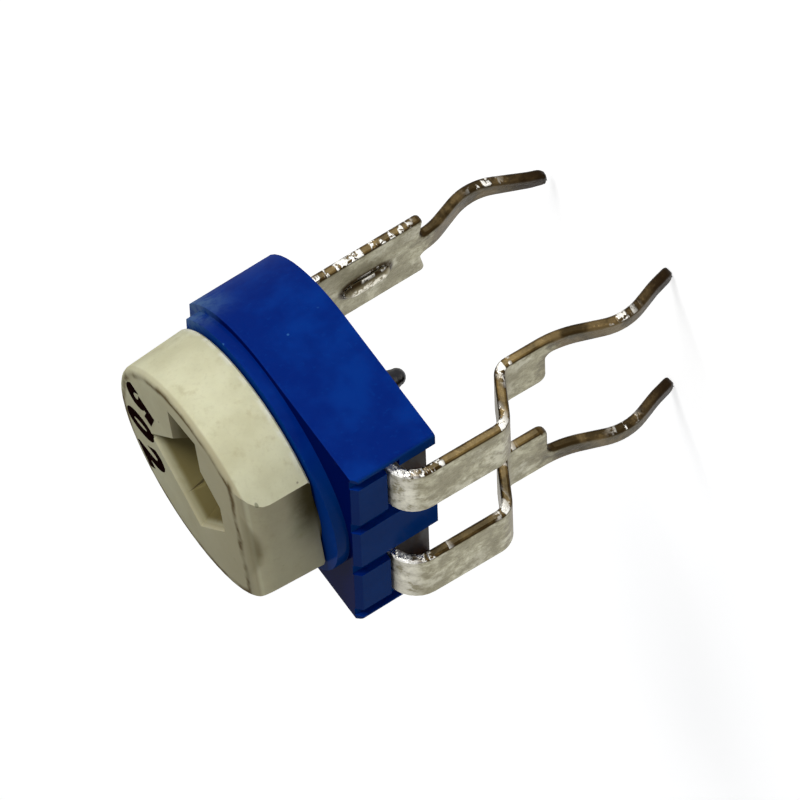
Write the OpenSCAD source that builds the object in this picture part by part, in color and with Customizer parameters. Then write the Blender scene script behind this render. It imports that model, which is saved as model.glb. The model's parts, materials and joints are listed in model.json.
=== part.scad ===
// Single-turn trimmer potentiometer with through-hole leads, in millimetres.
// Origin: on the rotor's axis, in the plane of the board that the lead shoulders rest on.
// +Z is the rotor's axis, with the rotor up and the leads down. The two end terminals are at -Y.

/* [Housing] */
// Width of the moulded housing
body_w = 6.5; // [6.3:0.1:8]
// Distance from the rotor's axis to the flat front
body_front = 3.3; // [3.2:0.05:4]
// Distance from the rotor's axis to the small flat at the back
body_back = 2.9; // [2.8:0.05:3.1]
// Thickness of the housing, from its underside to its deck
body_t = 2.05; // [1.9:0.05:2.6]
// Height of the housing's underside above the board
underside_z = 3.2; // [2.6:0.1:4]
// Wall round the pocket that holds the element plate
wall_t = 0.35; // [0.3:0.01:0.4]
// Height of the collar round the rotor, above the deck
collar_h = 0.3; // [0.1:0.05:0.6]
// Width of the collar's flat top
collar_w = 0.59; // [0.4:0.01:0.62]
// Distance from the rotor's axis to the straight back of the collar
collar_back = 2.56; // [2.56:0.02:2.9]
// Bevel along the front edge of the deck
deck_bevel = 0.13; // [0.05:0.01:0.2]
// Radius of the two upright corners at the front
corner_r = 0.1; // [0.05:0.01:0.2]
// Depth of the grooves that part the three pads of the front
groove_depth = 0.16; // [0.08:0.02:0.25]
// Width of the grooves beside the middle pad
groove_w = 0.42; // [0.3:0.02:0.6]
// Thickness of the fin at each end of the front, outside the outer pads
fin_t = 0.14; // [0.1:0.01:0.2]

/* [Rotor] */
// Diameter of the rotor's cap, at its top
rotor_d = 5.6; // [5.2:0.1:5.8]
// How much wider the cap is at its lower edge, across its diameter
rotor_draft = 0.14; // [0:0.02:0.2]
// Height of the rotor's top above the deck
rotor_rise = 1.9; // [1.5:0.1:3]
// Radius of the rotor's neck, under the cap
neck_r = 2.4; // [2.36:0.01:2.42]
// Gap between the neck and the housing's well, all round
rotor_gap = 0.06; // [0.03:0.01:0.08]
// Distance from the axis to the foot of the flat on the rotor's side
flat_foot = 2.46; // [2.2:0.02:2.5]
// How much nearer to the axis the flat is at the rotor's top
flat_lean = 0.1; // [0.05:0.01:0.3]
// Radius that rounds the flat over into the rotor's top
flat_round = 0.6; // [0.1:0.02:0.7]
// Radius of the rim round the rotor's top
rim_round = 0.16; // [0.05:0.01:0.3]
// How far the rotor is turned from mid travel, as it is stored
rotor_turn = 9; // [-60:0.1:60]
// Whole angle that the rotor turns through between its stops
rotor_travel = 200; // [180:1:200]
// Width of the driver slot at the rotor's top
slot_w = 1.05; // [0.8:0.05:1.3]
// Distance from the rotor's axis to the driver slot's pointing end
slot_reach = 2.1; // [1.7:0.05:2.2]
// Distance from the rotor's axis to the driver slot's other end
slot_tail = 1.05; // [0.8:0.05:2.1]
// Depth of the driver slot at the middle of the rotor
slot_depth = 1.1; // [0.7:0.05:1.3]
// Depth of the driver slot at its outer ends
slot_end_depth = 0.45; // [0.2:0.05:0.6]
// Width of the four-sided pocket at the middle of the driver slot, corner to corner
pocket_w = 3.2; // [2:0.1:3.3]
// Distance from the rotor's axis to the pocket's short wall beside the flat
pocket_front = 1.15; // [0.9:0.05:1.2]
// Radius of the hub under the rotor
hub_r = 0.65; // [0.55:0.05:0.8]
// Height of the stop lug under the rotor's rim
lug_h = 0.46; // [0.3:0.02:0.5]
// Radial thickness of the stop lug
lug_t = 0.24; // [0.15:0.01:0.25]
// Half of the angle that the stop lug takes up
lug_half = 12; // [8:1:15]

/* [Element] */
// Thickness of the element plate
plate_t = 0.9; // [0.8:0.05:1]
// Slack between the element plate and its pocket, on each side
plate_gap = 0.02; // [0.01:0.01:0.04]
// Thickness of the printed films on the plate
film_t = 0.04; // [0.02:0.01:0.06]
// Radius of the middle of the resistive track
track_r = 1.75; // [1.7:0.01:1.8]
// Width of the resistive track
track_w = 0.5; // [0.4:0.02:0.5]

/* [Pivot] */
// Radius of the axle
axle_r = 0.3; // [0.2:0.02:0.36]
// Running clearance between the axle and the eyelet
axle_gap = 0.03; // [0.01:0.01:0.06]
// Radius of the riveted head under the eyelet
axle_head_r = 0.45; // [0.42:0.01:0.6]
// How far the axle reaches below the housing's underside
axle_reach = 0.66; // [0.6:0.02:0.9]
// Wall of the eyelet
eyelet_t = 0.18; // [0.12:0.01:0.2]
// Radius of the eyelet's upper flange, which the spring contact slides on
eyelet_flange_r = 1.15; // [1:0.05:1.3]
// Thickness of the eyelet's flanges
eyelet_flange_t = 0.13; // [0.08:0.01:0.16]
// Thickness of the spring contact
spring_t = 0.1; // [0.06:0.01:0.12]

/* [Terminals] */
// Thickness of the terminal sheet
sheet_t = 0.24; // [0.2:0.01:0.26]
// Distance between the two end leads, centre to centre
lead_pitch = 5.08; // [4.8:0.02:5.1]
// Width of a lead
lead_w = 0.52; // [0.44:0.02:0.6]
// Length of the leads below the board plane
lead_len = 3.15; // [2.8:0.05:4.5]
// Width of an end terminal above its lead
end_w = 1.62; // [1.5:0.02:1.7]
// Distance from the front of the housing to the middle of an end terminal's sheet
end_standoff = 0.4; // [0.34:0.02:0.6]
// How far an end terminal steps back above the board
end_jog = 1.17; // [0.8:0.02:1.2]
// Distance from the rotor's axis to the end of an end terminal's leg
end_inset = 1.15; // [1.15:0.01:1.3]
// Radius of the rivets that join the end terminals to the plate
rivet_r = 0.2; // [0.14:0.01:0.2]
// How far the rivets stand out under the plate
rivet_reach = 0.56; // [0.4:0.02:0.7]
// Width of the wiper terminal above its lead
wiper_w = 2.24; // [2.1:0.02:2.4]
// Distance from the rotor's axis to the middle of the wiper terminal's sheet
wiper_y = 2.05; // [1.9:0.05:2.3]
// Width of the stiffening bead in the wiper terminal
bead_w = 0.66; // [0.5:0.02:0.8]
// Length of the stiffening bead
bead_len = 1.3; // [1:0.05:1.5]
// Height of the stiffening bead
bead_h = 0.19; // [0.1:0.01:0.2]
// How far the leads bow out of line, which grips them in the board
lead_bow = 0.5; // [0.2:0.02:0.6]

/* [Hidden] */
$fn = 64;

eps = 0.01;
big = 20;
blue = "#12349a";
ivory = "#e6e2c4";
phenolic = "#7a4a22";
carbon = "#232323";
silver = "#c9c9c4";
tin = "#b9b6a2";
brass = "#c2a04e";

deck_z = underside_z + body_t;
plate_top = underside_z + plate_t;
pocket_r = body_w / 2 - wall_t;
bed_front = body_front - wall_t;
well_r = neck_r + rotor_gap;
collar_r = well_r + collar_w;
cap_z = deck_z + collar_h + 0.05;

// the end terminals lie on their printed pads, and the ledge holds them down
leg_z = plate_top + film_t;
leg_gap = 0.03;
leg_top = leg_z + sheet_t;
ledge_z = leg_top + 0.36;
ledge_r = 1.66;
stop_margin = 1;
ledge_half = 180 - rotor_travel / 2 - lug_half - stop_margin;

rotor_bottom = ledge_z + 0.08;
rotor_top = deck_z + rotor_rise;
hub_gap = 0.04;
hub_bottom = plate_top + eyelet_flange_t + hub_gap;
axle_top = rotor_bottom + 0.6;

end_out = lead_pitch / 2 + lead_w / 2;
end_in = end_out - end_w;
end_y = -(body_front + end_standoff);
foot_y = end_y + end_jog;
rivet_x = end_out - 0.58;
rivet_y = -(end_inset + 0.15);
rivet_head_r = rivet_r + 0.08;
rivet_head_t = 0.1;
strap_top = underside_z;
strap_bottom = underside_z - sheet_t;
strap_r = wiper_w / 2;
eyelet_r = axle_r + axle_gap + eyelet_t;
eyelet_bottom = strap_bottom - eyelet_flange_t;

// contact arms of the spring, as middle lines in the plane of the radius and the height
spring_top = rotor_bottom;
spring_mid = spring_top - spring_t / 2;
spring_ring_r = hub_r + 0.55;
track_touch = leg_z + spring_t / 2 + 0.02;
flange_touch = plate_top + eyelet_flange_t + spring_t / 2 + 0.02;
arm_w = 0.62;
arm_bend = 0.12;
arm_tip = 0.24;
arm_tip_rise = 0.14;
tongue_w = 0.5;
tongue_bend = 0.07;
tongue_fold = 0.3;
tongue_drop = 0.1;
tongue_tip = 0.2;
spring_lap = 0.3;

function unit(v) = v / norm(v);
function left_of(v) = [-v[1], v[0]];
function spun(v, a) = [v[0] * cos(a) - v[1] * sin(a), v[0] * sin(a) + v[1] * cos(a)];
function flat2(p) = [p[0], p[1]];
function way(a, b) = unit(flat2(b) - flat2(a));

// A bend at corner b of the line a-b-c, with radius b[2]: pairs of a point and its left normal
function bend(a, b, c, steps) =
    let (d1 = way(a, b), d2 = way(b, c), side = cross(d1, d2) >= 0 ? 1 : -1)
    let (angle = acos(min(1, max(-1, d1 * d2))))
    let (start = flat2(b) - d1 * b[2] * tan(angle / 2))
    let (centre = start + left_of(d1) * b[2] * side)
    [for (i = [0:steps]) let (n = spun(left_of(d1), side * angle * i / steps)) [centre - n * b[2] * side, n]];

// The middle line of a bent strip through corners [across, up, bend radius]
function middle_line(c, steps) =
    let (last = len(c) - 1)
    [
        [flat2(c[0]), left_of(way(c[0], c[1]))],
        for (i = [1:last - 1]) each bend(c[i - 1], c[i], c[i + 1], steps),
        [flat2(c[last]), left_of(way(c[last - 1], c[last]))]
    ];

// The edge-on section of a strip of thickness t bent along corners c
function strip_section(c, t, steps = 8) =
    let (q = middle_line(c, steps), last = len(q) - 1)
    concat(
        [for (e = q) e[0] + e[1] * t / 2],
        [for (i = [last:-1:0]) q[i][0] - q[i][1] * t / 2]
    );

// A closed outline through corners [x, y, radius]
function rounded(c, steps = 6) =
    let (n = len(c))
    [for (i = [0:n - 1]) each [for (e = bend(c[(i + n - 1) % n], c[i], c[(i + 1) % n], steps)) e[0]]];

// Stands a section in the Y-Z plane on edge, w wide along X
module across_x(w) {
    rotate([90, 0, 90])
        linear_extrude(w, center = true)
            children();
}

// Runs an outline in the X-Z plane through everything along Y
module along_y() {
    rotate([90, 0, 0])
        linear_extrude(big, center = true)
            children();
}

// Plan of the housing: a straight front, a half-round back and a small flat on it
module plan(inset = 0) {
    r = body_w / 2 - inset;
    front = body_front - inset;
    back = body_back - inset;
    intersection() {
        union() {
            circle(r, $fn = 128);
            translate([-r, -front]) square([2 * r, front]);
        }
        polygon(rounded([
            [-r, -front, corner_r], [r, -front, corner_r], [r, back, corner_r], [-r, back, corner_r]
        ]));
    }
}

// A slice of angle on both sides of -Y
module front_slice(half) {
    reach = 2 * body_w;
    polygon([[0, 0], for (a = [-half, -half / 2, 0, half / 2, half]) [reach * sin(a), -reach * cos(a)]]);
}

module at_both_sides() {
    children();
    mirror([1, 0, 0]) children();
}

// Parts of the housing that are cut away at its right end terminal
module terminal_room() {
    slot_top = leg_top + leg_gap;
    // the slot that the terminal's leg lies in, and the room over its rivet
    translate([end_in - leg_gap, -big, plate_top - eps])
        cube([end_w + 2 * leg_gap, big - end_inset + 0.2, slot_top - plate_top + eps]);
    translate([rivet_x, rivet_y, plate_top])
        cylinder(h = leg_top + rivet_head_t + leg_gap - plate_top, r = rivet_head_r + leg_gap);
    // the open front below the slot
    translate([end_in - groove_w, -body_front - 1, underside_z - 1])
        cube([end_out + leg_gap - end_in + groove_w, 1 + wall_t + eps, slot_top - underside_z + 1]);
    // the grooves beside the pad
    for (x = [[end_in - groove_w, end_in], [end_out, body_w / 2 - fin_t]])
        translate([x[0], -body_front - 1, plate_top])
            cube([x[1] - x[0], 1 + groove_depth, body_t]);
}

module housing() {
    color(blue)
        difference() {
            union() {
                translate([0, 0, underside_z])
                    linear_extrude(body_t) plan();
                translate([0, 0, deck_z - eps])
                    linear_extrude(collar_h + eps)
                        intersection() {
                            circle(collar_r, $fn = 128);
                            translate([-big / 2, collar_back - big]) square(big);
                        }
            }
            // the well that the rotor turns in
            translate([0, 0, ledge_z])
                cylinder(h = body_t + collar_h, r = well_r, $fn = 128);
            // the room under it, where the lug and the spring contact sweep round
            translate([0, 0, underside_z])
                linear_extrude(ledge_z - underside_z + eps)
                    difference() {
                        circle(well_r, $fn = 128);
                        difference() {
                            front_slice(ledge_half);
                            circle(ledge_r);
                        }
                    }
            // the pocket for the element plate
            translate([0, 0, underside_z - 1])
                linear_extrude(plate_t + 1) plan(wall_t);
            at_both_sides() terminal_room();
            // the bevel along the front of the deck
            translate([0, -body_front, deck_z])
                rotate([45, 0, 0])
                    cube([big, deck_bevel * sqrt(2), deck_bevel * sqrt(2)], center = true);
        }
}

module element_plate() {
    color(phenolic)
        translate([0, 0, underside_z])
            linear_extrude(plate_t)
                difference() {
                    plan(wall_t + plate_gap);
                    circle(eyelet_r);
                    at_both_sides() translate([rivet_x, rivet_y]) circle(rivet_r);
                }
}

// Half of the angle, from +Y, that the resistive track reaches to
track_half = 180 - ledge_half + 1.5;

module carbon_track() {
    color(carbon)
        translate([0, 0, plate_top])
            linear_extrude(film_t)
                difference() {
                    circle(track_r + track_w / 2, $fn = 96);
                    circle(track_r - track_w / 2, $fn = 96);
                    front_slice(180 - track_half);
                }
}

// The printed pads start at the plate's front edge and end beside the track
pad_inset = 0.1;
pad_front = plate_gap + pad_inset - bed_front;
pad_back = -0.58;

// A printed pad that joins the end of the track to the end terminal's leg
module end_pad() {
    color(silver)
        translate([0, 0, plate_top])
            linear_extrude(film_t)
                difference() {
                    intersection() {
                        front_slice(180 - track_half);
                        translate([end_in, pad_front])
                            square([end_out - plate_gap - end_in, pad_back - pad_front]);
                    }
                    translate([rivet_x, rivet_y]) circle(rivet_r);
                }
}

// Outline of an end terminal seen from the front: a wide strip with its lead along the outer edge
module end_blank() {
    shoulder_r = 0.22;
    neck_r = 0.2;
    tip_r = 0.17;
    taper = 0.07;
    lead_in = end_out - lead_w;
    polygon(rounded([
        [end_in, plate_top + 1, 0.01],
        [end_in, 0, shoulder_r],
        [lead_in, 0, neck_r],
        [lead_in + taper, -lead_len, tip_r],
        [end_out - taper, -lead_len, tip_r],
        [end_out, 0, 1],
        [end_out, plate_top + 1, 0.01]
    ]));
}

// Outline of an end terminal's leg seen from above, with a pointed end that stays clear of the stop lug
module leg_plan() {
    polygon([
        [end_in - eps, -big], [end_in - eps, -end_inset - 0.45], [end_in + 0.45, -end_inset],
        [rivet_x, -end_inset + 0.16], [end_out + eps, -end_inset - 0.11], [end_out + eps, -big]
    ]);
}

module end_terminal() {
    mid_z = leg_z + sheet_t / 2;
    bow_z = -0.55 * lead_len;
    color(tin)
        difference() {
            intersection() {
                across_x(big)
                    polygon(strip_section([
                        [-1, mid_z],
                        [end_y + 0.03, mid_z, 0.64],
                        [end_y - 0.02, underside_z * 0.54, 0.4],
                        [foot_y, underside_z * 0.345, 0.36],
                        [foot_y - 0.03, bow_z * 0.2, 2.6],
                        [foot_y - 0.06 - lead_bow, bow_z, 1.3],
                        [foot_y - 0.22, lead_len * -0.84, 2],
                        [foot_y - 0.09, -lead_len]
                    ], sheet_t));
                along_y() end_blank();
                linear_extrude(big, center = true) leg_plan();
            }
            translate([rivet_x, rivet_y, plate_top]) cylinder(h = 2, r = rivet_r);
        }
}

// A rivet through the leg, the pad and the plate: flat head on top, round end below
module end_rivet() {
    end_z = underside_z - rivet_reach;
    head_top = leg_top + rivet_head_t;
    color(brass)
        translate([rivet_x, rivet_y, 0])
            rotate_extrude($fn = 40)
                polygon(concat(
                    [
                        [0, head_top], [rivet_head_r, head_top], [rivet_head_r, leg_top], [rivet_r, leg_top],
                        [rivet_r, underside_z], [rivet_head_r, underside_z],
                        [rivet_head_r, underside_z - rivet_head_t]
                    ],
                    [for (a = [0:15:90]) [rivet_r * cos(a), end_z + rivet_r * (1 - sin(a))]]
                ));
}

// Outline of the wiper terminal seen from the front: a wide strip with its lead in the middle
module wiper_blank() {
    half = wiper_w / 2;
    lead = lead_w / 2;
    shoulder_r = 0.12;
    neck_r = 0.16;
    tip_r = 0.17;
    taper = 0.07;
    polygon(rounded([
        [-half, strap_top + 1, 0.01],
        [-half, 0, shoulder_r],
        [-lead - 0.1, 0.12, neck_r],
        [-lead + taper, 0.15 - lead_len, tip_r],
        [lead - taper, 0.15 - lead_len, tip_r],
        [lead + 0.1, 0.12, neck_r],
        [half, 0, shoulder_r],
        [half, strap_top + 1, 0.01]
    ]));
}

// An upright round-ended bead: a rod with ball ends, mostly buried in the sheet
module bead_rod(r, y) {
    half = bead_len / 2 - bead_w / 2;
    translate([0, y, underside_z * 0.47]) {
        cylinder(h = 2 * half, r = r, center = true, $fn = 48);
        for (s = [-1, 1])
            translate([0, 0, s * half]) sphere(r, $fn = 48);
    }
}

module wiper_terminal() {
    bead_r = (pow(bead_w / 2, 2) + bead_h * bead_h) / (2 * bead_h);
    bow_z = -0.46 * lead_len;
    tip_z = 0.15 - lead_len;
    mid_z = strap_top - sheet_t / 2;
    bend_r = 0.3;
    face_y = wiper_y - sheet_t / 2;
    color(tin)
        difference() {
            union() {
                intersection() {
                    across_x(big)
                        polygon(strip_section([
                            [-strap_r, mid_z],
                            [wiper_y, mid_z, bend_r],
                            [wiper_y - 0.02, bow_z * 0.16, 1.5],
                            [wiper_y + lead_bow * 0.86, bow_z, 1.3],
                            [wiper_y - 0.12, tip_z + 0.35, 1.5],
                            [wiper_y - 0.24, tip_z]
                        ], sheet_t));
                    along_y() wiper_blank();
                    // round end of the strap under the element plate
                    translate([0, 0, -big / 2])
                        linear_extrude(big)
                            union() {
                                circle(strap_r);
                                translate([-strap_r, 0]) square([wiper_w, big]);
                            }
                }
                intersection() {
                    bead_rod(bead_r, face_y - bead_h + bead_r);
                    translate([-wiper_w / 2, face_y - 1, 0])
                        cube([wiper_w, 1 + sheet_t / 2, underside_z - sheet_t]);
                }
            }
            bead_rod(bead_r - sheet_t / 4, face_y + sheet_t - bead_h + bead_r);
            translate([0, 0, strap_bottom - 1]) cylinder(h = sheet_t + 2, r = eyelet_r);
        }
}

module centre_eyelet() {
    color(brass)
        difference() {
            union() {
                translate([0, 0, eyelet_bottom]) cylinder(h = plate_top - eyelet_bottom, r = eyelet_r);
                translate([0, 0, plate_top]) cylinder(h = eyelet_flange_t, r = eyelet_flange_r);
                translate([0, 0, eyelet_bottom]) cylinder(h = eyelet_flange_t, r = eyelet_r + 0.3);
            }
            translate([0, 0, eyelet_bottom - 1])
                cylinder(h = plate_top - eyelet_bottom + 2, r = axle_r + axle_gap);
        }
}

// The axle, pressed into the rotor at its top and riveted over under the eyelet
module centre_axle() {
    end_z = underside_z - axle_reach;
    head_top = eyelet_bottom - hub_gap;
    dome_h = head_top - end_z - 0.04;
    color(brass)
        rotate_extrude($fn = 48)
            polygon(concat(
                [[0, axle_top], [axle_r, axle_top], [axle_r, head_top], [axle_head_r, head_top]],
                [for (a = [0:15:90]) [axle_head_r * cos(a), end_z + dome_h * (1 - sin(a))]]
            ));
}

// The driver slot, pointing to +X: it slopes from its ends down to the middle and has leaning side walls
module driver_slot() {
    lean = 0.16;
    intersection() {
        along_y()
            polygon([
                [-slot_tail, 1], [-slot_tail, 0], [-slot_tail + lean, -slot_end_depth], [0, -slot_depth],
                [slot_reach - lean, -slot_end_depth], [slot_reach, 0], [slot_reach, 1]
            ]);
        across_x(big)
            polygon([
                [-slot_w / 2 - lean, 1], [-slot_w / 2, 0], [-slot_w / 2 + lean, -slot_depth],
                [slot_w / 2 - lean, -slot_depth], [slot_w / 2, 0], [slot_w / 2 + lean, 1]
            ]);
    }
}

// Section of the pocket across two of its leaning walls
module pocket_section(half) {
    foot = half * 0.45;
    polygon([[-half, 1], [-half, 0], [-foot, -slot_depth], [foot, -slot_depth], [half, 0], [half, 1]]);
}

// The pocket at the middle of the slot: four leaning walls at 45 degrees to it, cut short beside the flat
module driver_pocket() {
    half = pocket_w / (2 * sqrt(2));
    intersection() {
        rotate([0, 0, 45])
            intersection() {
                along_y() pocket_section(half);
                across_x(big) pocket_section(half);
            }
        across_x(big)
            polygon([
                [-pocket_front, 1], [-pocket_front, 0], [0.1 - pocket_front, -slot_depth - 1],
                [big, -slot_depth - 1], [big, 1]
            ]);
    }
}

// The rotor's neck and the wider cap above it, with a rounded rim
module rotor_blank() {
    r = rotor_d / 2;
    foot_r = r + rotor_draft / 2;
    rotate_extrude($fn = 128)
        polygon(concat(
            [[0, rotor_bottom], [neck_r, rotor_bottom], [neck_r, cap_z]],
            [[foot_r - 0.04, cap_z], [foot_r, cap_z + 0.04]],
            [for (a = [0:15:90]) [r - rim_round * (1 - cos(a)), rotor_top - rim_round * (1 - sin(a))]],
            [[0, rotor_top]]
        ));
}

// What the leaning flat on the rotor's side leaves of it, as a section in the Y-Z plane
module flat_section() {
    polygon(rounded([
        [-flat_foot, rotor_bottom, 0.01],
        [rotor_d, rotor_bottom, 0.01],
        [rotor_d, rotor_top, 0.01],
        [flat_lean - flat_foot, rotor_top, flat_round]
    ]));
}

module stop_lug() {
    lug_out = neck_r - 0.02;
    translate([0, 0, rotor_bottom - lug_h])
        linear_extrude(lug_h + eps)
            intersection() {
                difference() {
                    circle(lug_out, $fn = 96);
                    circle(lug_out - lug_t, $fn = 96);
                }
                rotate(180) front_slice(lug_half);
            }
}

module rotor() {
    color(ivory)
        rotate([0, 0, rotor_turn])
            difference() {
                union() {
                    intersection() {
                        rotor_blank();
                        across_x(big) flat_section();
                    }
                    translate([0, 0, hub_bottom]) cylinder(h = rotor_bottom - hub_bottom + eps, r = hub_r);
                    stop_lug();
                }
                translate([0, 0, rotor_top]) {
                    driver_slot();
                    driver_pocket();
                }
                translate([0, 0, hub_bottom - 1]) cylinder(h = axle_top - hub_bottom + 1, r = axle_r);
            }
}

// The spring contact under the rotor: a ring on the hub, an arm to the track and a tongue to the eyelet
module spring_contact() {
    color(brass)
        rotate([0, 0, rotor_turn])
            difference() {
                union() {
                    translate([0, 0, spring_top - spring_t]) cylinder(h = spring_t, r = spring_ring_r);
                    across_x(arm_w)
                        polygon(strip_section([
                            [spring_ring_r - spring_lap, spring_mid],
                            [spring_ring_r + arm_bend, spring_mid, arm_bend],
                            [track_r, track_touch, arm_bend],
                            [track_r + arm_tip, track_touch + arm_tip_rise]
                        ], spring_t));
                    across_x(tongue_w)
                        polygon(strip_section([
                            [-spring_ring_r + spring_lap, spring_mid],
                            [-spring_ring_r - tongue_fold, spring_mid, tongue_bend],
                            [-spring_ring_r - tongue_drop, (spring_mid + flange_touch) / 2, tongue_bend],
                            [-eyelet_flange_r + tongue_tip, flange_touch]
                        ], spring_t));
                }
                translate([0, 0, plate_top]) cylinder(h = body_t, r = hub_r);
            }
}

housing();
element_plate();
carbon_track();
end_pad();  // end_pad_right
mirror([1, 0, 0]) end_pad();  // end_pad_left
end_terminal();  // end_terminal_right
mirror([1, 0, 0]) end_terminal();  // end_terminal_left
end_rivet();  // end_rivet_right
mirror([1, 0, 0]) end_rivet();  // end_rivet_left
wiper_terminal();
centre_eyelet();
rotor();
spring_contact();
centre_axle();
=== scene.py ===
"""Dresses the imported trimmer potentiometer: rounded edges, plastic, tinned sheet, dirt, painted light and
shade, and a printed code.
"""

import json
import math

import bmesh
import bpy
from mathutils import Matrix, Vector


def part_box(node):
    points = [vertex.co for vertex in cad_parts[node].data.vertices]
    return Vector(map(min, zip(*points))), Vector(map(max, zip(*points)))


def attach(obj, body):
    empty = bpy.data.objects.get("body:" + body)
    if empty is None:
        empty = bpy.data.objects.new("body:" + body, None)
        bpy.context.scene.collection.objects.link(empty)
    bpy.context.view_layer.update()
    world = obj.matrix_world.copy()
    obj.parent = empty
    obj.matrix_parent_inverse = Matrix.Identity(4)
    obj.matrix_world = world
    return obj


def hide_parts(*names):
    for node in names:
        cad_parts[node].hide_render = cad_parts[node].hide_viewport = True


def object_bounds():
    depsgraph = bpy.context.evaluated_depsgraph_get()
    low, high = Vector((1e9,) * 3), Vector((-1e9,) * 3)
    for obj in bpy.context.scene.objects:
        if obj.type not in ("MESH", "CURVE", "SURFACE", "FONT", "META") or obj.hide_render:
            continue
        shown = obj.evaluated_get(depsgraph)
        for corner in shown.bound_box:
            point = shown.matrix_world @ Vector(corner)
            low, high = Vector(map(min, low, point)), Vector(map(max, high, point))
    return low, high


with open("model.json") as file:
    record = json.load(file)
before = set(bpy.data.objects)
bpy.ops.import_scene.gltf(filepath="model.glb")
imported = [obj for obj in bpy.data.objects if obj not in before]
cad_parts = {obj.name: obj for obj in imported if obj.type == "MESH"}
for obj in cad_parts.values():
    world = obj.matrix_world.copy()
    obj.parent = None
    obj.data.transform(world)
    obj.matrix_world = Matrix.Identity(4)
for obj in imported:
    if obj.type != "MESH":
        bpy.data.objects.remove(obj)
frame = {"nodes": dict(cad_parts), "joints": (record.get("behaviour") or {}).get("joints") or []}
cad_low, cad_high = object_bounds()

MM = 0.001
joint = frame["joints"][0]
# the stops lie evenly about mid travel, so their middle gives how far the rotor is turned at rest
ROTOR_TURN = -math.radians(sum(joint["range_deg"]) / 2)
ROTOR_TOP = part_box("rotor")[1].z / MM
CAP_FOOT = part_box("housing")[1].z / MM
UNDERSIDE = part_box("housing")[0].z / MM
TIP_Z = cad_low.z / MM

# the rotor's top, in millimetres, as the part's source has it
ROTOR_R = 2.8
RIM_ROUND = 0.16
FLAT_LINE = 1.8
# from the axis towards the flat, and along the flat
TOWARDS_FLAT = (math.sin(ROTOR_TURN), -math.cos(ROTOR_TURN), 0)
ALONG_FLAT = (math.cos(ROTOR_TURN), math.sin(ROTOR_TURN), 0)

# edges that turn by more than SHARP are rounded over. Before that, faces that turn by less than FLAT are
# joined, and so are points that are less than WELD millimetres apart
SHARP = math.radians(24)
FLAT = math.radians(0.4)
WELD = 0.0002
# how wide the rounded edges are, in millimetres
MOULDED_EDGE = 0.035
SHEET_EDGE = 0.08
BOARD_EDGE = 0.02

# the code on the rotor's top: its characters, where round the axis the middle one stands, and the step
CODE = "502"
CODE_MIDDLE_DEG = 94
CODE_STEP_DEG = 28

# the wiper terminal's bead: the radius of its ends, and half of the straight between them
BEAD_R = 0.33
BEAD_HALF = 0.32
BEAD_Z = UNDERSIDE * 0.47
# the middle of the end terminals' jog
JOG_Z = UNDERSIDE * 0.44

# camera: where it looks, the way back to it, which way is up in the picture, how far off it is, and its lens
AIM = Vector((-0.05, -0.81, 2.47)) * MM
BACK = Vector((0.893, -0.382, 0.238))
UP = Vector((0.450, 0.736, -0.506))
DISTANCE = 0.405
LENS = 871

# the light from all round, and how much the floor is lifted towards white where the camera sees it
ROUND_LIGHT = 0.17
FLOOR_LIFT = 0.72


# helpers for materials


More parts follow.
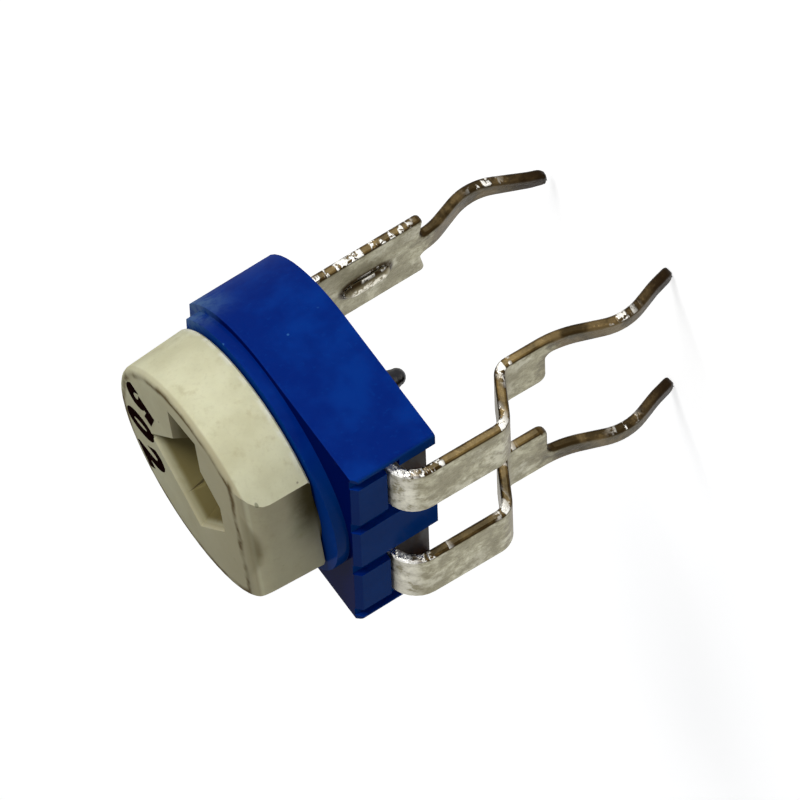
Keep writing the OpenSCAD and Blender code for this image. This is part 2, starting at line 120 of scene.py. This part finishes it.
class Material:
    """A Principled material whose node tree is built by small calls. Lengths in it are in millimetres."""

    def __init__(self, name, **constants):
        self.data = bpy.data.materials.new(name)
        self.data.use_nodes = True
        self.tree = self.data.node_tree
        self.shader = self.tree.nodes["Principled BSDF"]
        for key, value in constants.items():
            self.shader.inputs[key.replace("_", " ")].default_value = value
        texture = self.tree.nodes.new("ShaderNodeTexCoord")
        self.place = self.vector("SCALE", texture.outputs["Object"], scale=1 / MM)
        self.normal = texture.outputs["Normal"]
        self.x, self.y, self.z = self.split(self.place)
        self.normal_x, self.normal_y, self.normal_z = self.split(self.normal)

    def put(self, socket, value):
        """Links a socket, or sets a plain value."""
        if isinstance(value, bpy.types.NodeSocket):
            self.tree.links.new(value, socket)
        elif isinstance(value, (tuple, list)) and len(value) == 3 and len(socket.default_value) == 4:
            socket.default_value = (*value, 1)
        else:
            socket.default_value = value

    def vector(self, operation, a, b=None, scale=None):
        node = self.tree.nodes.new("ShaderNodeVectorMath")
        node.operation = operation
        self.put(node.inputs[0], a)
        if b is not None:
            self.put(node.inputs[1], b)
        if scale is not None:
            self.put(node.inputs["Scale"], scale)
        gives_number = operation in ("LENGTH", "DISTANCE", "DOT_PRODUCT")
        return node.outputs["Value" if gives_number else "Vector"]

    def split(self, vector):
        node = self.tree.nodes.new("ShaderNodeSeparateXYZ")
        self.put(node.inputs[0], vector)
        return node.outputs[0], node.outputs[1], node.outputs[2]

    def math(self, operation, a, b=0.0):
        node = self.tree.nodes.new("ShaderNodeMath")
        node.operation = operation
        self.put(node.inputs[0], a)
        self.put(node.inputs[1], b)
        return node.outputs[0]

    def fade(self, value, start, end, low=0.0, high=1.0):
        """low where value is at start, rising smoothly to high where it is at end."""
        node = self.tree.nodes.new("ShaderNodeMapRange")
        node.interpolation_type = "SMOOTHSTEP"
        for socket, number in zip(node.inputs[:5], (value, start, end, low, high)):
            self.put(socket, number)
        return node.outputs["Result"]

    def band(self, value, centre, half):
        """1 where value is at centre, falling to 0 at half away from it."""
        off = self.math("ABSOLUTE", self.math("SUBTRACT", value, centre))
        return self.fade(off, 0.0, half, 1.0, 0.0)

    def noise(self, per_mm, detail=4.0, roughness=0.55, stretch=(1, 1, 1)):
        node = self.tree.nodes.new("ShaderNodeTexNoise")
        self.put(node.inputs["Vector"], self.vector("MULTIPLY", self.place, stretch))
        self.put(node.inputs["Scale"], per_mm)
        self.put(node.inputs["Detail"], detail)
        self.put(node.inputs["Roughness"], roughness)
        return node.outputs["Fac"]

    def cells(self, per_mm):
        node = self.tree.nodes.new("ShaderNodeTexVoronoi")
        self.put(node.inputs["Vector"], self.place)
        self.put(node.inputs["Scale"], per_mm)
        return node.outputs["Distance"]

    def mix(self, amount, a, b):
        """Colour a where amount is 0, colour b where it is 1."""
        node = self.tree.nodes.new("ShaderNodeMix")
        node.data_type = "RGBA"
        colour_a, colour_b, colour_out = node.inputs[6], node.inputs[7], node.outputs[2]
        self.put(node.inputs["Factor"], amount)
        self.put(colour_a, a)
        self.put(colour_b, b)
        return colour_out

    def times(self, *values):
        result = values[0]
        for value in values[1:]:
            result = self.math("MULTIPLY", result, value)
        return result

    def colour(self, value):
        self.put(self.shader.inputs["Base Color"], value)

    def roughness(self, value):
        self.put(self.shader.inputs["Roughness"], value)

    def bump(self, height, depth_mm, strength):
        node = self.tree.nodes.new("ShaderNodeBump")
        node.inputs["Strength"].default_value = strength
        node.inputs["Distance"].default_value = depth_mm * MM
        self.put(node.inputs["Height"], height)
        self.put(self.shader.inputs["Normal"], node.outputs["Normal"])


# the materials


def blue_plastic():
    dark, middling, bright = (0.0006, 0.019, 0.20), (0.0012, 0.034, 0.27), (0.0015, 0.055, 0.32)
    # painted light and shade: the paler colour for faces that look up, the dark deck, the paler greener front,
    # and in part the pale patch at the back
    paler_upward, shaded_deck, front = (0.0012, 0.042, 0.27), (0.0004, 0.0065, 0.105), (0.0012, 0.052, 0.24)
    scuff_and_reflection, dust = (0.085, 0.18, 0.34), (0.06, 0.22, 0.55)
    m = Material("blue_plastic", Specular_IOR_Level=0.0, Coat_Weight=0.055, Coat_Roughness=0.14)
    cloud = m.noise(0.9, 3)
    base = m.mix(m.fade(cloud, 0.35, 0.68), dark, middling)
    grain = m.noise(9, 5, 0.6)
    base = m.mix(m.fade(grain, 0.55, 0.8, 0.0, 0.35), base, bright)
    # painted light and shade on the faces that look up: the collar's is painted a little paler, and the deck's
    # is painted dark as shade, up to near the back
    upward = m.fade(m.normal_z, 0.5, 0.95)
    base = m.mix(upward, base, paler_upward)
    below_collar = m.fade(m.z, CAP_FOOT - 0.05, CAP_FOOT - 0.2)
    base = m.mix(m.times(upward, below_collar, m.fade(m.y, 2.3, 1.5)), base, shaded_deck)
    # painted light: the faces towards the front are painted a little paler and greener
    facing_front = m.fade(m.normal_y, -0.5, -0.95)
    base = m.mix(m.times(facing_front, 0.7), base, front)
    # a pale patch at the back, along the deck: partly scuffing, partly a painted reflection of the white
    # surroundings
    at_back = m.times(m.fade(m.y, 1.5, 2.7), m.fade(m.z, CAP_FOOT - 1.1, CAP_FOOT - 0.3))
    base = m.mix(m.times(at_back, m.fade(m.noise(3.4, 6, 0.7), 0.28, 0.64), 0.8), base, scuff_and_reflection)
    # pale dust, in a few small specks
    speck = m.fade(m.cells(2.6), 0.05, 0.1, 1.0, 0.0)
    few = m.fade(m.noise(1.3, 1), 0.56, 0.66)
    base = m.mix(m.times(speck, few, 0.55), base, dust)
    m.colour(base)
    m.roughness(m.fade(grain, 0.3, 0.8, 0.24, 0.44))
    m.bump(m.math("ADD", grain, m.times(cloud, 2.0)), 0.008, 0.5)
    return m.data


def ivory_plastic():
    yellowed, clean = (0.68, 0.655, 0.43), (0.80, 0.785, 0.545)
    stained, gritty = (0.50, 0.44, 0.23), (0.56, 0.52, 0.33)
    # painted shade: the colours for the top and the flat
    shaded_top, shaded_flat, pale = (0.47, 0.42, 0.265), (0.48, 0.41, 0.25), (0.88, 0.87, 0.72)
    # painted shade: the colours for the recess and for low down on the flat
    light_recess_shade, deep_recess_shade, collar_shade = (0.165, 0.13, 0.04), (0.085, 0.058, 0.008), (0.06, 0.045, 0.007)
    dirt, grey, brown = (0.13, 0.088, 0.035), (0.16, 0.16, 0.09), (0.18, 0.14, 0.08)
    m = Material("ivory_plastic", Specular_IOR_Level=0.0, Coat_Weight=0.05, Coat_Roughness=0.35,
                 Subsurface_Weight=0.1, Subsurface_Scale=0.0003)
    m.shader.inputs["Subsurface Radius"].default_value = (1.0, 0.8, 0.45)
    cloud = m.noise(0.8, 4)
    base = m.mix(m.fade(cloud, 0.3, 0.7), yellowed, clean)
    stain = m.noise(2.4, 6, 0.62)
    base = m.mix(m.fade(stain, 0.54, 0.76, 0.0, 0.42), base, stained)
    grit = m.noise(13, 3, 0.6)
    base = m.mix(m.fade(grit, 0.5, 0.75, 0.0, 0.22), base, gritty)

    radius = m.vector("LENGTH", m.vector("MULTIPLY", m.place, (1, 1, 0)))
    towards_flat = m.vector("DOT_PRODUCT", m.place, TOWARDS_FLAT)
    on_top = m.fade(m.z, ROTOR_TOP - 0.14, ROTOR_TOP - 0.08)
    wander = m.math("MULTIPLY", m.math("SUBTRACT", m.noise(1.5, 4, 0.6), 0.5), 0.24)
    # painted shade: the top is painted darker than the wall, most of all towards the flat
    dull = m.fade(towards_flat, -2.4, 1.9, 0.35, 0.85)
    base = m.mix(m.times(on_top, dull), base, shaded_top)

    # painted shade in the recess: olive, deeper down, and most of all on the side of the flat
    inside = m.fade(radius, ROTOR_R - 0.45, ROTOR_R - 0.6)
    depth = m.fade(m.z, ROTOR_TOP + 0.02, ROTOR_TOP - 0.24, 0.0, 0.94)
    recess_shade = m.mix(m.fade(towards_flat, -0.5, 0.8), light_recess_shade, deep_recess_shade)
    base = m.mix(m.times(inside, depth), base, recess_shade)

    # painted shade: the flat is painted darker than the wall, and darker still low down, next to the collar
    flatwise = m.vector("MULTIPLY", m.normal, (1, 1, 0))
    facing = m.vector("DOT_PRODUCT", m.vector("NORMALIZE", flatwise), TOWARDS_FLAT)
    front = m.times(m.fade(facing, 0.92, 0.97), m.fade(m.vector("LENGTH", flatwise), 0.3, 0.8))
    base = m.mix(m.times(front, m.fade(cloud, 0.3, 0.7, 0.2, 0.7)), base, shaded_flat)
    low = m.fade(m.math("ADD", m.z, m.times(wander, 1.5)), CAP_FOOT + 0.85, CAP_FOOT + 0.15)
    across = m.vector("DOT_PRODUCT", m.place, ALONG_FLAT)
    base = m.mix(m.times(low, front, m.fade(across, -1.0, 0.7, 0.1, 0.95)), base, collar_shade)

    # brown dirt in a thin broken line along the rim and along the flat's upper edge
    half_line = 0.13
    rim = m.band(m.math("ADD", radius, wander), ROTOR_R - RIM_ROUND - 0.02, half_line)
    edge = m.band(m.math("ADD", towards_flat, wander), FLAT_LINE, half_line)
    behind_flat = m.fade(towards_flat, FLAT_LINE + 0.04, FLAT_LINE)
    in_rim = m.fade(radius, ROTOR_R - 0.02, ROTOR_R - 0.12)
    line = m.math("MAXIMUM", m.times(rim, behind_flat), m.times(edge, in_rim))
    broken = m.fade(m.noise(1.2, 4), 0.38, 0.6, 0.25, 0.95)
    base = m.mix(m.times(line, on_top, broken), base, dirt)

    # the cap's lower edge is worn pale
    worn = m.times(m.fade(m.z, CAP_FOOT + 0.22, CAP_FOOT + 0.1), m.fade(stain, 0.42, 0.55))
    base = m.mix(m.times(worn, m.fade(facing, 0.9, 0.8), 0.7), base, pale)

    # a dark tick on the wall near the flat, wider than it is high, and a few dark grains
    squash = 2
    tick_place = (1.97, -2.04, squash * (ROTOR_TOP - 0.32))
    tick = m.vector("DISTANCE", m.vector("MULTIPLY", m.place, (1, 1, squash)), tick_place)
    base = m.mix(m.fade(tick, 0.1, 0.06, 0.0, 0.6), base, grey)
    grains = m.fade(m.cells(1.9), 0.035, 0.07, 1.0, 0.0)
    base = m.mix(m.times(grains, m.fade(m.noise(1.1, 1), 0.55, 0.62), 0.6), base, brown)
    m.colour(base)
    m.roughness(m.fade(stain, 0.3, 0.8, 0.34, 0.56))
    m.bump(m.math("ADD", stain, m.times(cloud, 3.0)), 0.012, 0.6)
    return m.data


def tinned_sheet(name, bead=None, jog=None):
    """Tin plated sheet. bead and jog are the heights of the middle of a terminal's bead and jog."""
    dull, clean, smudged = (0.215, 0.195, 0.115), (0.50, 0.475, 0.34), (0.15, 0.125, 0.065)
    olive, pale = (0.18, 0.158, 0.088), (0.66, 0.64, 0.52)
    # painted light: white for highlights and glints, the bead's shade and highlight, the jog's shade, and the
    # cut edges' middle highlight and rim shade
    bright, glint = (0.93, 0.92, 0.87), (0.95, 0.93, 0.86)
    bead_side_shade, bead_foot_shade, bead_crest_highlight = (0.24, 0.19, 0.10), (0.05, 0.034, 0.014), (0.9, 0.86, 0.74)
    jog_shade, cut_dark, cut_light = (0.12, 0.083, 0.038), (0.035, 0.02, 0.006), (0.16, 0.105, 0.038)
    cut_highlight, cut_rim_shade = (0.42, 0.34, 0.19), (0.028, 0.017, 0.006)
    dark_tarnish, light_tarnish = (0.03, 0.019, 0.007), (0.115, 0.078, 0.034)
    tip_black = (0.019, 0.011, 0.005)
    m = Material(name, Metallic=1.0)
    mottle = m.noise(3.4, 6, 0.7)
    fine = m.noise(13, 4, 0.6)
    base = m.mix(m.fade(mottle, 0.34, 0.68), dull, clean)
    base = m.mix(m.fade(fine, 0.48, 0.72, 0.0, 0.5), base, smudged)
    base = m.mix(m.fade(m.noise(1.1, 2), 0.4, 0.65, 0.0, 0.6), base, olive)
    base = m.mix(m.fade(m.noise(1.7, 5, 0.65), 0.5, 0.68, 0.0, 0.45), base, pale)
    side = m.math("ABSOLUTE", m.normal_x)
    # gate, bow, flash and chip say where the painted glints go on the cut edges
    gate = m.fade(m.z, 0.15, 0.4)
    if bead is not None:
        # painted shade on the bead's side and round its foot, and a painted highlight on its crest
        nearest = m.math("MINIMUM", m.math("MAXIMUM", m.z, bead - BEAD_HALF), bead + BEAD_HALF)
        along = m.math("SUBTRACT", m.z, nearest)
        off = m.math("SQRT", m.math("ADD", m.times(m.x, m.x), m.times(along, along)))
        base = m.mix(m.fade(off, BEAD_R, BEAD_R - 0.08, 0.0, 0.5), base, bead_side_shade)
        base = m.mix(m.times(m.band(off, BEAD_R - 0.02, 0.12), 0.95), base, bead_foot_shade)
        base = m.mix(m.times(m.fade(off, 0.15, 0.08), m.fade(fine, 0.4, 0.55)), base, bead_crest_highlight)
    if jog is not None:
        # painted shade: the jog is painted browner than the straight parts, and painted glints go at its bends
        height = m.math("ADD", m.z, m.times(m.math("SUBTRACT", mottle, 0.5), 1.1))
        base = m.mix(m.times(m.band(height, jog, 0.6), 0.75), base, jog_shade)
        bends = m.band(m.math("ABSOLUTE", m.math("SUBTRACT", m.z, jog)), 0.4, 0.32)
        gate = m.math("MAXIMUM", bends, m.fade(m.z, UNDERSIDE - 0.1, UNDERSIDE + 0.2))

    # the cut edges show the base metal under the tin: brown, with a painted highlight along their middle and
    # painted shade, darkest, where they round over into the faces
    cut = m.fade(side, 0.2, 0.6)
    streak = m.noise(1.9, 4, 0.6)
    edge = m.mix(m.fade(streak, 0.36, 0.64), cut_dark, cut_light)
    edge = m.mix(m.fade(side, 0.985, 0.999, 0.0, 0.2), edge, cut_highlight)
    edge = m.mix(m.fade(side, 0.95, 0.6, 0.0, 0.92), edge, cut_rim_shade)
    base = m.mix(cut, base, edge)

    # a painted highlight where the strips come out of the housing, most of all on their cut edges
    crown_highlight = m.times(m.fade(m.z, UNDERSIDE + 0.62, UNDERSIDE + 0.95), m.fade(side, 0.15, 0.4, 0.3, 1.0))
    base = m.mix(m.times(crown_highlight, m.fade(mottle, 0.36, 0.5)), base, bright)

    # painted glints across the edges, at the bends and where the leads bow
    bow = m.band(m.z, TIP_Z * 0.55, 0.6)
    flash = m.fade(m.noise(6.2, 2, 0.5, stretch=(0.25, 0.25, 1)), 0.47, 0.53)
    glint_speckle = m.fade(m.noise(8, 2, 0.5), 0.4, 0.5)
    painted_glint = m.times(m.math("MAXIMUM", gate, bow), flash, glint_speckle, m.fade(side, 0.45, 0.7))
    base = m.mix(painted_glint, base, glint)

    # tarnish: brown below the shoulders, and darker at the tips
    reach = m.math("ADD", m.z, m.times(m.math("SUBTRACT", mottle, 0.5), 1.6))
    away_from_glints = m.math("SUBTRACT", 1.0, m.times(painted_glint, 0.9))
    below = m.times(m.fade(reach, 0.35, -0.45, 0.0, 0.85), away_from_glints)
    base = m.mix(below, base, m.mix(m.fade(streak, 0.4, 0.62), dark_tarnish, light_tarnish))
    tip = m.fade(reach, TIP_Z + 1.5, TIP_Z + 0.4, 0.0, 0.92)
    base = m.mix(m.times(tip, away_from_glints), base, tip_black)
    m.colour(base)
    m.roughness(m.math("SUBTRACT", m.fade(mottle, 0.3, 0.7, 0.32, 0.5), m.times(painted_glint, 0.14)))
    m.bump(m.math("ADD", m.times(mottle, 2.0), m.math("ADD", fine, m.times(painted_glint, 2.0))), 0.014, 0.75)
    return m.data


def dark_rivet():
    m = Material("dark_rivet", Metallic=0.6)
    blotch = m.noise(5, 4)
    m.colour(m.mix(m.fade(blotch, 0.45, 0.7), (0.012, 0.012, 0.016), (0.09, 0.08, 0.07)))
    m.roughness(m.fade(blotch, 0.3, 0.8, 0.14, 0.3))
    return m.data


def brass():
    m = Material("brass", Metallic=1.0)
    blotch = m.noise(4, 5)
    m.colour(m.mix(m.fade(blotch, 0.4, 0.72), (0.72, 0.53, 0.25), (0.36, 0.25, 0.10)))
    m.roughness(m.fade(blotch, 0.3, 0.8, 0.2, 0.42))
    m.bump(blotch, 0.006, 0.5)
    return m.data


def phenolic():
    m = Material("phenolic", Specular_IOR_Level=0.1)
    fibre = m.noise(5, 5, 0.6, stretch=(0.25, 3, 1))
    base = m.mix(m.fade(fibre, 0.35, 0.68), (0.022, 0.011, 0.007), (0.06, 0.029, 0.015))
    m.colour(m.mix(m.fade(m.noise(1.2), 0.5, 0.75, 0.0, 0.4), base, (0.02, 0.01, 0.007)))
    m.roughness(m.fade(fibre, 0.3, 0.8, 0.38, 0.6))
    m.bump(fibre, 0.01, 0.5)
    return m.data


def carbon_film():
    m = Material("carbon_film")
    grit = m.noise(14, 4)
    m.colour(m.mix(m.fade(grit, 0.4, 0.7), (0.01, 0.01, 0.011), (0.035, 0.034, 0.034)))
    m.roughness(m.fade(grit, 0.3, 0.8, 0.45, 0.7))
    return m.data


def silver_film():
    m = Material("silver_film", Metallic=0.9)
    grit = m.noise(10, 4)
    m.colour(m.mix(m.fade(grit, 0.4, 0.7), (0.62, 0.61, 0.57), (0.8, 0.79, 0.76)))
    m.roughness(m.fade(grit, 0.3, 0.8, 0.35, 0.55))
    return m.data


def ink():
    m = Material("ink", Specular_IOR_Level=0.0)
    worn = m.noise(7, 4, 0.6)
    m.colour(m.mix(m.fade(worn, 0.5, 0.78), (0.010, 0.003, 0.003), (0.035, 0.014, 0.010)))
    m.roughness(m.fade(worn, 0.3, 0.8, 0.3, 0.5))
    return m.data


# the pieces


def softened(node, body, material, edge_mm, clamped=True):
    """A copy of a CAD node with its sharp edges rounded by edge_mm, which stands for it.

    Where clamped, the rounding gets narrower rather than overrun a short edge. The sheet's keeps its width.
    """
    source = frame["nodes"][node]
    bm = bmesh.new()
    bm.from_mesh(source.data)
    bmesh.ops.remove_doubles(bm, verts=bm.verts, dist=WELD * MM)
    bmesh.ops.dissolve_limit(bm, angle_limit=FLAT, verts=bm.verts, edges=bm.edges)
    mesh = bpy.data.meshes.new("dressed_" + node)
    bm.to_mesh(mesh)
    bm.free()
    if "custom_normal" in mesh.attributes:
        mesh.attributes.remove(mesh.attributes["custom_normal"])
    mesh.materials.clear()
    mesh.materials.append(material)
    mesh.shade_smooth()
    mesh.set_sharp_from_angle(angle=SHARP)
    piece = bpy.data.objects.new("dressed_" + node, mesh)
    bpy.context.scene.collection.objects.link(piece)
    bevel = piece.modifiers.new("edges", "BEVEL")
    bevel.width = edge_mm * MM
    bevel.segments = 3
    bevel.limit_method = "ANGLE"
    bevel.angle_limit = SHARP
    bevel.use_clamp_overlap = clamped
    bevel.loop_slide = clamped
    bevel.harden_normals = True
    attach(piece, body)
    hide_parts(node)


def keep(node, material):
    """A CAD node that is shown as it is, with its own material."""
    mesh = frame["nodes"][node].data
    mesh.materials.clear()
    mesh.materials.append(material)


def printed_digit(character, number, angle_deg, material):
    """One digit of the code on the rotor's top, with its head towards the axis."""
    height, reach, depth, proud = 0.88, 2.08, 0.02, 0.004
    thickening = 0.075
    height_share = 0.7  # a digit's height as a share of the font's size
    font = bpy.data.curves.new("print", "FONT")
    font.body = character
    font.size = height / height_share * MM
    font.align_x = "CENTER"
    font.align_y = "CENTER"
    font.offset = thickening * MM
    font.extrude = depth / 2 * MM
    stencil = bpy.data.objects.new("stencil", font)
    bpy.context.scene.collection.objects.link(stencil)
    bpy.context.view_layer.update()
    graph = bpy.context.evaluated_depsgraph_get()
    mesh = bpy.data.meshes.new_from_object(stencil.evaluated_get(graph))
    bpy.data.objects.remove(stencil)
    mesh.materials.clear()
    mesh.materials.append(material)
    piece = bpy.data.objects.new(f"printed_digit_{number}", mesh)
    bpy.context.scene.collection.objects.link(piece)
    angle = math.radians(angle_deg) + ROTOR_TURN
    out = Vector((math.cos(angle), math.sin(angle), 0))
    place = out * reach * MM + Vector((0, 0, (ROTOR_TOP + proud - depth / 2) * MM))
    piece.matrix_world = Matrix.Translation(place) @ Matrix.Rotation(angle + math.pi / 2, 4, "Z")
    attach(piece, "rotor")


blue, ivory = blue_plastic(), ivory_plastic()
end_tin = tinned_sheet("tinned_sheet_jogged", jog=JOG_Z)
wiper_tin = tinned_sheet("tinned_sheet_beaded", bead=BEAD_Z)
rivet, yellow, board = dark_rivet(), brass(), phenolic()
black, silver, print_ink = carbon_film(), silver_film(), ink()

softened("housing", "base", blue, MOULDED_EDGE)
softened("rotor", "rotor", ivory, MOULDED_EDGE)
for side in ("right", "left"):
    softened("end_terminal_" + side, "base", end_tin, SHEET_EDGE, clamped=False)
    keep("end_rivet_" + side, rivet)
    keep("end_pad_" + side, silver)
softened("wiper_terminal", "base", wiper_tin, SHEET_EDGE, clamped=False)
softened("element_plate", "base", board, BOARD_EDGE)
keep("carbon_track", black)
keep("centre_eyelet", yellow)
keep("centre_axle", yellow)
keep("spring_contact", yellow)

middle = (len(CODE) - 1) / 2
for number, character in enumerate(CODE):
    printed_digit(character, number + 1, CODE_MIDDLE_DEG + (number - middle) * CODE_STEP_DEG, print_ink)


# the studio


def seen_white(tree, plain, white):
    """Shows white to the camera and in reflections, and plain to the rest of the light."""
    path = tree.nodes.new("ShaderNodeLightPath")
    seen = path.outputs["Is Camera Ray"]
    for name in ("Is Glossy Ray", "Is Transmission Ray"):
        either = tree.nodes.new("ShaderNodeMath")
        either.operation = "MAXIMUM"
        tree.links.new(seen, either.inputs[0])
        tree.links.new(path.outputs[name], either.inputs[1])
        seen = either.outputs[0]
    mix = tree.nodes.new("ShaderNodeMixShader")
    tree.links.new(seen, mix.inputs[0])
    tree.links.new(plain, mix.inputs[1])
    tree.links.new(white, mix.inputs[2])
    return mix.outputs[0]


def build_world():
    world = bpy.data.worlds.new("studio")
    bpy.context.scene.world = world
    world.use_nodes = True
    tree = world.node_tree
    plain = tree.nodes["Background"]
    plain.inputs["Color"].default_value = (0.93, 0.96, 1.0, 1)
    plain.inputs["Strength"].default_value = ROUND_LIGHT
    white = tree.nodes.new("ShaderNodeBackground")
    white.inputs["Color"].default_value = (1, 1, 1, 1)
    white.inputs["Strength"].default_value = 1.0
    surface = seen_white(tree, plain.outputs[0], white.outputs[0])
    tree.links.new(surface, tree.nodes["World Output"].inputs["Surface"])


def build_floor():
    """A pale floor under the tips of the leads. It shows white where no shadow falls."""
    size = 4.0
    bm = bmesh.new()
    bmesh.ops.create_grid(bm, x_segments=1, y_segments=1, size=size / 2)
    mesh = bpy.data.meshes.new("floor")
    bm.to_mesh(mesh)
    bm.free()
    floor = bpy.data.objects.new("floor", mesh)
    floor.location.z = cad_low.z
    bpy.context.scene.collection.objects.link(floor)
    material = bpy.data.materials.new("floor")
    material.use_nodes = True
    tree = material.node_tree
    tree.nodes.remove(tree.nodes["Principled BSDF"])
    matt = tree.nodes.new("ShaderNodeBsdfDiffuse")
    matt.inputs["Color"].default_value = (0.85, 0.85, 0.85, 1)
    lift = tree.nodes.new("ShaderNodeEmission")
    lift.inputs["Strength"].default_value = FLOOR_LIFT
    both = tree.nodes.new("ShaderNodeAddShader")
    tree.links.new(matt.outputs[0], both.inputs[0])
    tree.links.new(lift.outputs[0], both.inputs[1])
    surface = seen_white(tree, matt.outputs[0], both.outputs[0])
    tree.links.new(surface, tree.nodes["Material Output"].inputs["Surface"])
    mesh.materials.append(material)


def soft_lamp(name, place, size, power):
    """A round lamp that faces the part. place and size are in metres, power in watts."""
    lamp = bpy.data.lights.new(name, "AREA")
    lamp.shape = "DISK"
    lamp.size = size
    lamp.energy = power
    holder = bpy.data.objects.new(name, lamp)
    holder.location = place
    holder.rotation_euler = (AIM - Vector(place)).to_track_quat("-Z", "Y").to_euler()
    bpy.context.scene.collection.objects.link(holder)


def build_camera():
    data = bpy.data.cameras.new("camera")
    data.lens = LENS
    data.sensor_width = 36
    data.clip_start, data.clip_end = 0.01, 20
    camera = bpy.data.objects.new("camera", data)
    back = BACK.normalized()
    right = UP.cross(back).normalized()
    up = back.cross(right)
    turn = Matrix((right, up, back)).transposed()
    camera.matrix_world = Matrix.Translation(AIM + back * DISTANCE) @ turn.to_4x4()
    bpy.context.scene.collection.objects.link(camera)
    bpy.context.scene.camera = camera


build_world()
build_floor()
soft_lamp("key", (0.31, 0.06, 0.12), 0.16, 0.72)
soft_lamp("front", (0.04, -0.30, 0.06), 0.25, 0.06)
soft_lamp("top", (0.06, 0.10, 0.33), 0.2, 0.07)
build_camera()

bpy.context.scene.view_settings.view_transform = "Standard"

bpy.context.view_layer.update()
